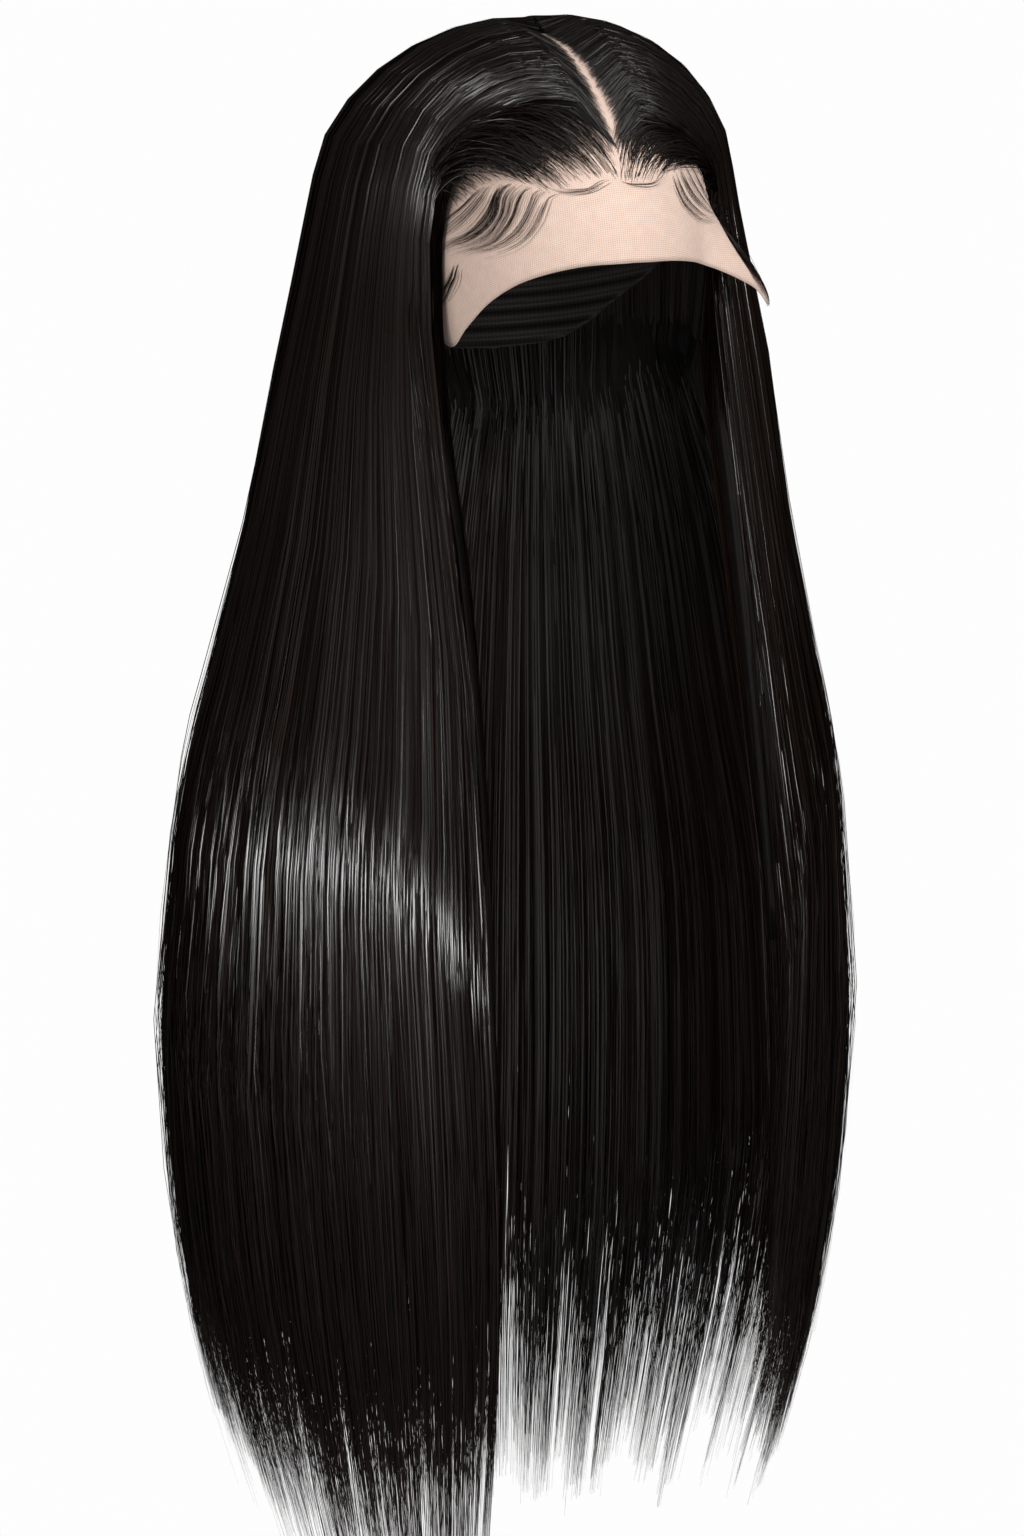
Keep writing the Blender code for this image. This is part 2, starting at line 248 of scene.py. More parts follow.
def root_point(side, q):
    """Where the strands leave the part, or the whorl at the crown, on the form."""
    sign = SIGN[side]
    y = mix(ROLL_START_Y, CROWN_Y, q / ROOT_TURN)
    x = PART_LEAN * (y - HAIRLINE_Y) / (CROWN_Y - HAIRLINE_Y) + sign * PART_HALF_WIDTH
    turn = np.clip((q - ROOT_TURN) / (1.0 - ROOT_TURN), 0.0, 1.2) * np.pi / 2
    on_part = q < ROOT_TURN
    round_x = PART_LEAN + sign * (PART_HALF_WIDTH + WHORL * np.sin(turn)) * np.cos(turn)
    x = np.where(on_part, x, round_x)
    y = np.where(on_part, y, CROWN_Y + WHORL * np.sin(turn))
    return stack(x, y, form_height(x, y))


def dome_point(side, q, turn):
    """Outer points over the crown, from the root (0) to the level where the hair falls."""
    root = root_point(side, q)
    foot = section_point(side, q, np.full_like(q, FALL_LEVEL))
    out = np.sin(turn)
    x = mix(root[..., 0], foot[..., 0], out)
    y = mix(root[..., 1], foot[..., 1], out ** SWEEP[side])
    rise = LIFT[side] * (1.0 - ease(q / 0.45)) * np.sin(2.0 * turn)
    z = mix(foot[..., 2], root[..., 2] + PUFF, np.cos(turn)) + rise
    away = np.hypot(x - root[..., 0], y - root[..., 1])
    dip = (PUFF - HAIR_SEAT - CAP_THICKNESS - ROOT_HEIGHT) * np.exp(-away / ROOT_SPREAD)
    dip = dip * (1.0 - 0.9 * ease((q - 0.40) / 0.13))
    return stack(x, y, z - dip)


def hair_point(side, q, along, tip, deep, raised):
    """Points of the hair. deep goes from the outer (0) to the inner face (1), and raised is a height
    over that."""
    q, along, tip, deep, raised = np.broadcast_arrays(q, along, tip, deep, raised)
    hem = read_table(HEM, 1 if side == "right" else 2, q) * HAIR_DROP
    turn = np.clip(along, 0.0, 1.0) * np.pi / 2
    drop = mix(FALL_LEVEL, tip, np.clip(along - 1.0, 0.0, 1.0))
    falling = along > 1.0
    plain = np.where(falling[..., None], section_point(side, q, drop), dome_point(side, q, turn))
    fallen = np.clip((drop - FALL_LEVEL) / (hem - FALL_LEVEL), 0.0, 1.0)
    drop_share = np.where(falling, mix(0.1, 1.0, fallen), 0.1 * np.clip(along, 0, 1) ** 0.83)
    z = plain[..., 2]
    above = z > -RISE
    centre = stack(0.0, 0.0, np.where(above, -RISE, z))
    below = np.clip((-RISE - z) / RISE, 0.0, 1.0)
    shrink = np.where(above, 1.0, np.sqrt(1.0 - below * below))
    way = unit(plain - centre)
    cap = form_radius(way) * shrink
    off_root = np.clip(drop_share / ROOT_SHARE, 0.0, 1.0)
    cap = np.where(shrink > 0, cap + CAP_THICKNESS + mix(ROOT_GAP, HAIR_SEAT, off_root), 0.0)
    least = mix(ROOT_HEIGHT, LEAST_HAIR, off_root)
    radius = np.maximum(length_of(plain - centre)[..., 0], cap + least)
    depth = read_table(SECTIONS, 8, np.maximum(SECTIONS[0, 0], -z / HAIR_DROP)) * HAIR_DEPTH
    depth = mix(EDGE_DEPTH, depth, ease(q / 0.28))
    depth = mix(depth, TIP_THICKNESS, ease((drop_share - 0.72) / 0.28))
    inner = np.maximum(cap, radius - depth)
    reach = mix(radius, inner, deep) + raised
    reach = np.where(shrink > 0, np.maximum(reach, cap - HAIR_SEAT * 0.5), reach)
    return centre + way * reach[..., None]


def bend_drop(q):
    """How far down the hair bends inwards, which is where it catches the light."""
    return 0.385 + 0.125 * np.maximum(0.0, 1.0 - q / 0.5) ** 4.2


def bend(q, along, drop, shift=0.0):
    """How far the hair stands out at its bend, and back above and below it."""
    off = np.maximum(drop, FALL_LEVEL) - bend_drop(q) - shift
    back = 1.0 - np.exp(-(np.hypot(off, BEND_ROUND) - BEND_ROUND) / BEND_REACH)
    return BEND_SLOPE * BEND_REACH * (0.5 - back) * ease(along)


def swirl(q, along):
    """How far the hair leads away from the front before it turns down to its own place."""
    share = along / SWIRL_PLACE
    return SWIRL * np.sqrt(np.clip(1.0 - q / ROOT_TURN, 0.0, 1.0)) * share * np.exp(1.0 - share)


def new_object(name, points, faces, material, uv):
    """An object from arrays of points and of quads, which rides on the part's one body."""
    mesh = bpy.data.meshes.new(name)
    mesh.vertices.add(len(points))
    mesh.vertices.foreach_set("co", np.ascontiguousarray(points, np.float32).ravel())
    mesh.loops.add(faces.size)
    mesh.loops.foreach_set("vertex_index", np.ascontiguousarray(faces, np.int32).ravel())
    mesh.polygons.add(len(faces))
    mesh.polygons.foreach_set("loop_start", np.arange(0, faces.size, 4, dtype=np.int32))
    mesh.update(calc_edges=True)
    mesh.validate()
    mesh.shade_smooth()
    layer = mesh.uv_layers.new(name="OFBake")
    layer.data.foreach_set("uv", np.ascontiguousarray(uv, np.float32).ravel())
    mesh.materials.append(material)
    obj = bpy.data.objects.new(name, mesh)
    bpy.context.scene.collection.objects.link(obj)
    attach(obj, "root")
    return obj


def add_value(obj, name, values):
    """A number on each point of an object, for its material."""
    layer = obj.data.attributes.new(name, "FLOAT", "POINT")
    layer.data.foreach_set("value", np.ascontiguousarray(values, np.float32).ravel())


def grid_quads(columns, rows, start=0, flip=False):
    """Quads between the points of a grid."""
    column, row = np.meshgrid(np.arange(columns - 1), np.arange(rows - 1), indexing="ij")
    a = start + column * rows + row
    quads = np.stack((a, a + 1, a + rows + 1, a + rows), -1).reshape(-1, 4)
    return quads[:, ::-1] if flip else quads


def wall_quads(loop, shift, flip=False):
    """Quads from an edge of one grid to the same edge of another."""
    a, b = loop[:-1], loop[1:]
    quads = np.stack((a, b, b + shift, a + shift), -1)
    return quads[:, ::-1] if flip else quads


def closed_sheet(name, outer, inner, material, flip):
    """A closed piece from two grids of points, which are joined round their edges."""
    columns, rows = outer.shape[:2]
    count = columns * rows
    faces = [grid_quads(columns, rows, 0, flip), grid_quads(columns, rows, count, not flip)]
    first, last = np.arange(rows), (columns - 1) * rows + np.arange(rows)
    top, foot = np.arange(columns) * rows, np.arange(columns) * rows + rows - 1
    faces += [wall_quads(first, count, not flip), wall_quads(last, count, flip)]
    faces += [wall_quads(top, count, flip), wall_quads(foot, count, not flip)]
    points = np.concatenate((outer.reshape(-1, 3), inner.reshape(-1, 3)))
    faces = np.concatenate(faces)
    place = np.stack(np.meshgrid(np.linspace(0, 1, columns), np.linspace(0, 1, rows),
                                 indexing="ij"), -1).reshape(-1, 2)
    # The outer face takes the left part of the map, the inner face the right part, and the walls
    # a thin strip.
    spots = np.concatenate((place * (0.46, 0.96), place * (0.46, 0.96) + (0.5, 0.0)))
    uv = spots[faces]
    walls = 2 * (columns - 1) * (rows - 1)
    wall = uv[walls:]
    shift = np.linspace(0, 1, len(wall))[:, None]
    corners = np.array(((0, 0), (1, 0), (1, 1), (0, 1)))
    uv[walls:, :, 0] = shift * 0.95 + corners[:, 0] * (0.9 / max(1, len(wall)))
    uv[walls:, :, 1] = 0.975 + corners[:, 1] * 0.02
    return new_object(name, points, faces, material, uv)


def strand_object(name, path, across, width, tone, material):
    """Flat strands along paths, tapered by their widths, all in one object."""
    count, steps = path.shape[:2]
    half = across * width[..., None] / 2
    points = np.stack((path - half, path + half), 2).reshape(-1, 3)
    strand, step = np.meshgrid(np.arange(count), np.arange(steps - 1), indexing="ij")
    a = (strand * steps + step) * 2
    faces = np.stack((a, a + 1, a + 3, a + 2), -1).reshape(-1, 4)
    # Each strand has a cell of its own on the map.
    rows = 6
    lanes = -(-count // rows)
    lane, row = strand % lanes, strand // lanes
    left, right = (lane + 0.1) / lanes, (lane + 0.9) / lanes
    low, high = (row + 0.98 * step / (steps - 1)) / rows, (row + 0.98 * (step + 1) / (steps - 1)) / rows
    uv = np.stack((left, low, right, low, right, high, left, high), -1).reshape(-1, 4, 2)
    obj = new_object(name, points, faces, material, uv)
    add_value(obj, "tone", np.repeat(tone, steps * 2))
    add_value(obj, "along", np.tile(np.repeat(np.linspace(0, 1, steps), 2), count))
    return obj


def across_of(path, beside, roll):
    """Unit vectors across strands, from the way to the strand beside them and a roll about them."""
    ahead = np.empty_like(path)
    ahead[:, 1:-1] = path[:, 2:] - path[:, :-2]
    ahead[:, 0], ahead[:, -1] = path[:, 1] - path[:, 0], path[:, -1] - path[:, -2]
    ahead = unit(ahead)
    side = unit(beside - ahead * (beside * ahead).sum(-1)[..., None])
    face = np.cross(side, ahead)
    return side * np.cos(roll)[..., None] + face * np.sin(roll)[..., None]


# Materials.


def new_material(name):
    """A material with its nodes, links and shader."""
    material = bpy.data.materials.new(name)
    material.use_nodes = True
    nodes, links = material.node_tree.nodes, material.node_tree.links
    shader = nodes["Principled BSDF"]
    shader.inputs["Metallic"].default_value = 0.0
    return material, nodes, links, shader


def ramp(nodes, stops):
    """A colour ramp with stops of (place, linear colour)."""
    node = nodes.new("ShaderNodeValToRGB")
    steps = node.color_ramp.elements
    steps[0].position, steps[0].color = stops[0][0], (*stops[0][1], 1)
    steps[1].position, steps[1].color = stops[-1][0], (*stops[-1][1], 1)
    for place, colour in stops[1:-1]:
        steps.new(place).color = (*colour, 1)
    return node


def math_node(nodes, links, kind, a, b=None):
    """The output of a sum on one or two numbers or outputs."""
    node = nodes.new("ShaderNodeMath")
    node.operation = kind
    for i, value in enumerate((a, b)):
        if value is None:
            continue
        if isinstance(value, (int, float)):
            node.inputs[i].default_value = value
        else:
            links.new(value, node.inputs[i])
    return node.outputs[0]


HAIR_TONES = (
    (0.00, (0.0035, 0.0020, 0.0015)),
    (0.50, (0.0085, 0.0050, 0.0036)),
    (0.85, (0.0200, 0.0110, 0.0078)),
    (1.00, (0.0380, 0.0210, 0.0150)),
)


def hair_strand_material(name, least_roughness, specular, lighter=1.0):
    """Strands, each with a shade of its own, a little lighter towards the tip. lighter scales all the
    colours up, which paints fill light into strands that lie in shade.
    """
    material, nodes, links, shader = new_material(name)
    tone = nodes.new("ShaderNodeAttribute")
    tone.attribute_name = "tone"
    along = nodes.new("ShaderNodeAttribute")
    along.attribute_name = "along"
    # lighter above 1 is painted fill light: a lighter copy of the same hair, for strands that lie in
    # shade.
    shades = ramp(nodes, [(at, tuple(part * lighter for part in shade)) for at, shade in HAIR_TONES])
    noise = nodes.new("ShaderNodeTexNoise")
    noise.inputs["Scale"].default_value = 9.0
    noise.inputs["Detail"].default_value = 2.0
    shift = math_node(nodes, links, "MULTIPLY_ADD", noise.outputs["Fac"], 0.30)
    shift.node.inputs[2].default_value = -0.15
    place = math_node(nodes, links, "ADD", tone.outputs["Fac"], shift)
    tips = math_node(nodes, links, "MULTIPLY", along.outputs["Fac"], 0.14)
    place = math_node(nodes, links, "ADD", place, tips)
    links.new(place, shades.inputs["Fac"])
    links.new(shades.outputs["Color"], shader.inputs["Base Color"])
    # Rough at the roots, then glossier down the fall than over the crown.
    places = ((0.0, 3.4), (0.07, 2.8), (0.14, 1.8), (0.33, 1.55), (0.46, 1.0), (1.0, 1.1))
    rough_along = ramp(nodes, [(at, (rough * least_roughness,) * 3) for at, rough in places])
    links.new(along.outputs["Fac"], rough_along.inputs["Fac"])
    rough = math_node(nodes, links, "MULTIPLY_ADD", tone.outputs["Fac"], 0.06)
    links.new(rough_along.outputs["Color"], rough.node.inputs[2])
    links.new(rough, shader.inputs["Roughness"])
    shader.inputs["Specular IOR Level"].default_value = specular
    shader.inputs["IOR"].default_value = 1.55
    return material


def hair_body_material():
    """The mass of hair under the strands: dark streaks that run down it."""
    material, nodes, links, shader = new_material("hair_body")
    uv = nodes.new("ShaderNodeUVMap")
    uv.uv_map = "OFBake"
    scale = nodes.new("ShaderNodeMapping")
    scale.inputs["Scale"].default_value = (520.0, 5.0, 1.0)
    streaks = nodes.new("ShaderNodeTexNoise")
    streaks.inputs["Scale"].default_value = 1.0
    streaks.inputs["Detail"].default_value = 4.0
    links.new(uv.outputs["UV"], scale.inputs["Vector"])
    links.new(scale.outputs["Vector"], streaks.inputs["Vector"])
    shades = ramp(nodes, ((0.3, (0.0015, 0.0010, 0.0008)), (0.75, (0.0065, 0.0042, 0.0032))))
    links.new(streaks.outputs["Fac"], shades.inputs["Fac"])
    links.new(shades.outputs["Color"], shader.inputs["Base Color"])
    bump = nodes.new("ShaderNodeBump")
    bump.inputs["Strength"].default_value = 0.6
    bump.inputs["Distance"].default_value = 0.0006
    links.new(streaks.outputs["Fac"], bump.inputs["Height"])
    links.new(bump.outputs["Normal"], shader.inputs["Normal"])
    shader.inputs["Roughness"].default_value = 0.55
    shader.inputs["Specular IOR Level"].default_value = 0.15
    return material


def lace_material():
    """Fine six-sided net in a nude shade, whose holes let the dark behind it show."""
    material, nodes, links, shader = new_material("nude_lace_net")
    uv = nodes.new("ShaderNodeUVMap")
    uv.uv_map = "weave"
    cells = nodes.new("ShaderNodeTexVoronoi")
    cells.feature = "DISTANCE_TO_EDGE"
    cells.inputs["Scale"].default_value = 1.0
    cells.inputs["Randomness"].default_value = 0.12
    links.new(uv.outputs["UV"], cells.inputs["Vector"])
    thread = math_node(nodes, links, "LESS_THAN", cells.outputs["Distance"], 0.28)
    alpha = math_node(nodes, links, "MULTIPLY_ADD", thread, 0.36)
    alpha.node.inputs[2].default_value = 0.64
    noise = nodes.new("ShaderNodeTexNoise")
    noise.inputs["Scale"].default_value = 30.0
    noise.inputs["Detail"].default_value = 3.0
    shades = ramp(nodes, ((0.3, (0.74, 0.545, 0.450)), (0.7, (0.80, 0.600, 0.500))))
    links.new(noise.outputs["Fac"], shades.inputs["Fac"])
    links.new(shades.outputs["Color"], shader.inputs["Base Color"])
    links.new(alpha, shader.inputs["Alpha"])
    bump = nodes.new("ShaderNodeBump")
    bump.inputs["Strength"].default_value = 0.4
    bump.inputs["Distance"].default_value = 0.0002
    links.new(thread, bump.inputs["Height"])
    links.new(bump.outputs["Normal"], shader.inputs["Normal"])
    shader.inputs["Roughness"].default_value = 0.8
    shader.inputs["Sheen Weight"].default_value = 0.2
    return material


def net_material():
    """Dark stretch net of the cap."""
    material, nodes, links, shader = new_material("dark_cap_net")
    uv = nodes.new("ShaderNodeUVMap")
    uv.uv_map = "weave"
    cells = nodes.new("ShaderNodeTexVoronoi")
    cells.feature = "DISTANCE_TO_EDGE"
    cells.inputs["Scale"].default_value = 0.5
    cells.inputs["Randomness"].default_value = 0.1
    links.new(uv.outputs["UV"], cells.inputs["Vector"])
    shades = ramp(nodes, ((0.02, (0.030, 0.024, 0.021)), (0.30, (0.004, 0.003, 0.003))))
    links.new(cells.outputs["Distance"], shades.inputs["Fac"])
    links.new(shades.outputs["Color"], shader.inputs["Base Color"])
    bump = nodes.new("ShaderNodeBump")
    bump.inputs["Strength"].default_value = 0.6
    bump.inputs["Distance"].default_value = 0.0003
    links.new(cells.outputs["Distance"], bump.inputs["Height"])
    bump.invert = True
    # Rows of sewn tapes run round the cap.
    parts = nodes.new("ShaderNodeSeparateXYZ")
    links.new(uv.outputs["UV"], parts.inputs[0])
    row = math_node(nodes, links, "MULTIPLY", parts.outputs["Y"], 2 * math.pi / 8.0)
    row = math_node(nodes, links, "SINE", row)
    tapes = nodes.new("ShaderNodeBump")
    tapes.inputs["Strength"].default_value = 0.8
    tapes.inputs["Distance"].default_value = 0.0015
    links.new(row, tapes.inputs["Height"])
    links.new(bump.outputs["Normal"], tapes.inputs["Normal"])
    links.new(tapes.outputs["Normal"], shader.inputs["Normal"])
    shader.inputs["Roughness"].default_value = 0.7
    return material


# Pieces.


def dressed_shell(name, point_at, angles, first, last, thickness, material, ridge=0.0):
    """A thin closed sheet on the form, with a second map that counts the cells of its net."""
    rows = 60
    shares = mix(first, np.broadcast_to(last, angles.shape)[:, None], np.linspace(0, 1, rows))
    inner = point_at(angles[:, None], shares)
    down = np.gradient(inner, axis=1)
    beside = np.gradient(inner, axis=0)
    out = unit(np.cross(down, beside))
    away = inner - CENTRE
    out = out * np.sign((out * away).sum(-1))[..., None]
    wave = ridge * (0.5 + 0.5 * np.sin(shares * np.pi * 2 * 22))[..., None]
    outer = inner + out * (thickness + wave)
    obj = closed_sheet(name, outer, inner + out * 0.00005, material, True)
    across = np.cumsum(np.r_[0, length_of(np.diff(inner[:, rows * 2 // 3], axis=0))[:, 0]])
    runs = np.concatenate((np.zeros((len(angles), 1)),
                           np.cumsum(length_of(np.diff(inner, axis=1))[..., 0], axis=1)), 1)
    cells = np.stack((np.broadcast_to(across[:, None], runs.shape), runs), -1) / LACE_PITCH
    cells = np.tile(cells.reshape(-1, 2), (2, 1))
    weave = obj.data.uv_layers.new(name="weave")
    loops = np.empty(len(obj.data.loops), np.int32)
    obj.data.loops.foreach_get("vertex_index", loops)
    weave.data.foreach_set("uv", cells[loops].astype(np.float32).ravel())
    a, b, c = inner[:-1, :-1], inner[1:, :-1], inner[:-1, 1:]
    area = float(length_of(np.cross(b - a, c - a)).sum())
    return obj, area


def hair_body(side, name, first, last, material):
    """The opaque mass of one panel, just under its outer strands."""
    columns, dome, fall = 41, 11, 20
    end = MIDDLE_BACK if name == "back" else last - 0.0002
    q = np.linspace(first + 0.0002, end, columns)[:, None]
    hem = read_table(HEM, 1 if side == "right" else 2, q) * HAIR_DROP
    rng = np.random.default_rng(len(name) + (5 if side == "right" else 11))
    ends = rng.uniform(0.58, 0.66, (columns, 1)) + (0.09 if name == "back" else 0.0)
    tip = mix(FALL_LEVEL, hem, ends)
    closed = ease((q - OPEN_PART) / CLOSING)
    top = mix(0.14, 0.0, closed)
    over = mix(top, 1.0, np.linspace(0.0, 1.0, dome)[None, :-1])
    along = np.concatenate((over, np.broadcast_to(np.linspace(1.0, 2.0, fall), (columns, fall))), 1)
    drop = mix(FALL_LEVEL, tip, np.clip(along - 1.0, 0, 1))
    under = 0.0026 - bend(q, along, drop)
    sunk = 0.75 * (1.0 - ease((along - top) / 0.22)) * (1.0 - closed)
    moved = np.minimum(q + swirl(q, along), MIDDLE_BACK)
    outer = hair_point(side, moved, along, tip, sunk, -under)
    inner = hair_point(side, moved, along, tip, 1.0, 0.0008 * ease(along / 0.3))
    thin = ease((along - 1.55) / 0.45)
    middle = (outer + inner) / 2
    outer = mix(outer, middle, 0.7 * thin[..., None])
    inner = mix(inner, middle, 0.7 * thin[..., None])
    obj = closed_sheet(f"body_{side}_{name}", outer, inner, material, side == "right")
    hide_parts(f"hair_{side}_{name}")
    return obj


def strand_places(start, tip, drop_at_bend):
    """Places along strands, closer together over the crown and where the hair bends."""
    dome = start + (1.0 - start) * np.linspace(0, 1, 9)[None, :-1] ** 1.15
    high, low = drop_at_bend - 0.045, drop_at_bend + 0.045
    fall = [mix(FALL_LEVEL, high, share) for share in (0.0, 0.12, 0.34, 0.67)]
    fall += [mix(high, low, share) for share in (0.0, 0.25, 0.5, 0.75, 1.0)]
    fall += [mix(low, tip, share) for share in (0.34, 0.62, 0.84, 1.0)]
    fall = 1.0 + (np.concatenate(np.broadcast_arrays(*fall), 1) - FALL_LEVEL) / (tip - FALL_LEVEL)
    return np.concatenate((dome, fall), 1)


def clumps(side, name, first, last, q):
    """What the strands at places q gather to towards their tips, and how long they are there."""
    rng = np.random.default_rng(7 + sum(map(ord, name + side)))
    goal, longer = q, np.zeros_like(q)
    for count, share, spread, lean in ((16, 0.22, 0.010, 0.005), (70, 0.45, 0.012, 0.004)):
        centres = np.sort(rng.uniform(first, last, count))
        near = np.abs(q[..., None] - centres).argmin(-1)
        goal = mix(goal, centres[near], share) + rng.normal(0.0, lean, count)[near]
        longer = longer + rng.normal(0.0, spread, count)[near]
    return goal, longer


def hair_tip(side, name, first, last, q):
    """Where the strands at places q gather to, and how far down the longest of them reach."""
    column = 1 if side == "right" else 2
    goal, longer = clumps(side, name, first, last, q)
    return goal, read_table(HEM, column, q) * HAIR_DROP + read_table(WISPS, column, q) + longer


def locks(side, name, first, last, material):
    """Broad locks under the outer strands, which thin out to points towards the tips."""
    rng = np.random.default_rng(53 + sum(map(ord, side + name)))
    count, steps = LOCKS, 9
    q0 = rng.uniform(first, LAST_STRAND if name == "back" else last, (count, 1))
    goal, tip = hair_tip(side, name, first, last, q0)
    shorter = {"front": 0.20, "side": 0.17, "back": 0.12}[name]
    tip = np.minimum(tip - shorter * rng.uniform(0, 1, (count, 1)) - 0.02, LOWEST_LOCK)
    t = np.linspace(0, 1, steps)[None, :]
    along = 1.0 + mix(0.42, 1.0, t)
    q = mix(q0, goal, 0.60 * ease((along - 1.7) / 0.3))
    q = np.clip(q + 0.002 * np.sin(2 * np.pi * (t * 0.6 + rng.uniform(0, 1, (count, 1)))), 0.002, 1.002)
    deep = rng.uniform(0.08, 0.92, (count, 1)) + np.zeros_like(t)
    path = hair_point(side, q, along, tip, deep, 0.0)
    beside = hair_point(side, q + BESIDE, along, tip, deep, 0.0) - hair_point(
        side, np.maximum(q - BESIDE, 0), along, tip, deep, 0.0
    )
    roll = rng.normal(0.0, 0.45, (count, 1)) + np.zeros_like(t)
    across = across_of(path, unit(beside), roll)
    taper = ease(0.25 + t / 0.2) * (1 - t) ** 1.1 + 0.02
    width = rng.uniform(0.0014, 0.0032, (count, 1)) * taper
    tone = rng.uniform(0.0, 0.4, (count, 1))
    obj = strand_object(f"locks_{side}_{name}", path, across, width, tone, material)
    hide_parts(f"hair_{side}_{name}")
    return obj


def outer_strands(side, name, first, last, material):
    """The strands on the outside of one panel."""
    rng = np.random.default_rng(sum(map(ord, side + name)))
    count = STRANDS

    def each(low, high):
        return rng.uniform(low, high, (count, 1))

    q0 = each(first, LAST_STRAND if name == "back" else last)
    goal, tip = hair_tip(side, name, first, last, q0)
    shorter, bunched = {"front": (0.32, 1.4), "side": (0.27, 1.4), "back": (0.17, 1.8)}[name]
    tip = np.minimum(tip - shorter * each(0, 1) ** bunched, LOWEST_STRAND)
    on_edge = (each(0, 1) < (0.14 if side == "right" else 0.05)) & (name == "front")
    # Few strands start right at the part, which closes over the crown.
    closed = ease((q0 - OPEN_PART) / CLOSING)
    late = 0.11 * each(0, 1) ** (0.85 if side == "right" else 0.70) * mix(1.0, 0.35, q0 / OPEN_PART)
    start = mix(late, 0.012 * each(0, 1), closed)
    along = strand_places(start, tip, bend_drop(q0))
    fall = np.clip(along - 1.0, 0.0, 1.0)
    gather = each(0.15, 0.90) * ease((fall - 0.66) / 0.34)
    drift = 0.0016 * np.sin(2 * np.pi * (fall * each(0.4, 1.1) + each(0, 1))) * (1.0 + 1.5 * fall**3)
    q = mix(q0, goal, gather) + drift * ease(along / 0.6)
    q = np.where(on_edge, 0.001 + 0.012 * each(0, 1), q) + swirl(q0, along)
    q = np.clip(q, 0.001, LAST_STRAND)
    deep = np.where(on_edge, each(0, 1), 0.0)
    deep = np.maximum(deep, (1.0 - ease((along - start) / 0.075)) * (1.0 - closed))
    thin = 1.0 - 0.5 * ease((fall - 0.6) / 0.4)
    deep = np.maximum(deep, each(0, 1) * (1.0 - thin) * 1.6)
    raised = each(-0.0014, 0.0006) + rng.normal(0.0, 0.0003, (count, 1))
    raised = raised * ease((along - start) / 0.15)
    drop = mix(FALL_LEVEL, tip, fall)
    shift = rng.normal(0.0, 0.007, (count, 1))
    raised = raised + bend(q, along, drop, shift)
    stray = each(0, 1) < 0.05
    raised = raised + np.where(stray, each(0.001, 0.007) * ease((fall - 0.15) / 0.6), 0.0)
    path = hair_point(side, q, along, tip, deep, raised)
    beside = hair_point(side, q + BESIDE, along, tip, deep, raised) - hair_point(
        side, np.maximum(q - BESIDE, 0), along, tip, deep, raised
    )
    # The first roots stand unevenly along the part.
    near_root = 1.0 - ease((along - start) / 0.07)
    inwards = mix(each(-0.0006, 0.0018), each(0.0012, 0.0026), np.clip(q0 / 0.40, 0, 1))
    path[..., 0] -= SIGN[side] * inwards * near_root
    path[:, 7:10] = (path[:, 6:9] + 2 * path[:, 7:10] + path[:, 8:11]) / 4
    roll = rng.normal(0.0, 0.36, (count, 1)) + rng.normal(0, 0.05, along.shape)
    roll = roll + np.where(on_edge, 1.2 if side == "right" else 0.4, 0.0)
    across = across_of(path, unit(beside), roll)
    taper = mix(0.30, 1.0, ease((along - start) / 0.20)) * (1 - 0.85 * ease((fall - 0.72) / 0.28))
    width = STRAND_WIDTH * each(0.6, 1.4) * taper
    tone = np.clip(rng.beta(2.0, 3.2, (count, 1)) * 0.85, 0, 1)
    obj = strand_object(f"strands_{side}_{name}", path, across, width, tone, material)
    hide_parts(f"hair_{side}_{name}")
    return obj


def inner_strands(side, material):
    """The strands on the inside of one side, which show through the open front and from below."""
    rng = np.random.default_rng(31 if side == "right" else 37)
    count = 1900
    along = np.linspace(1.02, 2.0, 13)[None, :]
    q = rng.uniform(0.01, LAST_STRAND, (count, 1)) + 0.002 * np.sin(
        2 * np.pi * (along * rng.uniform(0.4, 1.0, (count, 1)) + rng.uniform(0, 1, (count, 1)))
    )
    q = np.clip(q, 0.001, LAST_STRAND)
    hem = read_table(HEM, 1 if side == "right" else 2, q[:, :1]) * HAIR_DROP
    tip = np.minimum(hem + 0.03 - 0.17 * rng.uniform(0, 1, (count, 1)) ** 1.7, LOWEST_STRAND)
    raised = rng.uniform(0.0002, 0.0020, (count, 1)) + np.zeros_like(along)
    path = hair_point(side, q, along, tip, 1.0, raised)
    beside = hair_point(side, q + BESIDE, along, tip, 1.0, raised) - hair_point(
        side, np.maximum(q - BESIDE, 0), along, tip, 1.0, raised
    )
    roll = rng.normal(0.0, 0.45, (count, 1)) + np.zeros_like(along)
    across = across_of(path, unit(beside), roll)
    taper = 1 - 0.8 * ease((along - 1.75) / 0.25)
    width = STRAND_WIDTH * rng.uniform(0.8, 1.6, (count, 1)) * taper
    tone = rng.beta(2.0, 4.0, (count, 1)) * 0.7
    obj = strand_object(f"strands_{side}_inside", path, across, width, tone, material)
    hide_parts(f"hair_{side}_front", f"hair_{side}_side", f"hair_{side}_back")
    return obj


# Close-ups of the photograph: the pixel at their left top corner, and how far they are enlarged.
CLOSE_UPS = {"temple": (430.0, 160.0, 9.798), "brow": (500.0, 0.0, 7.127)}

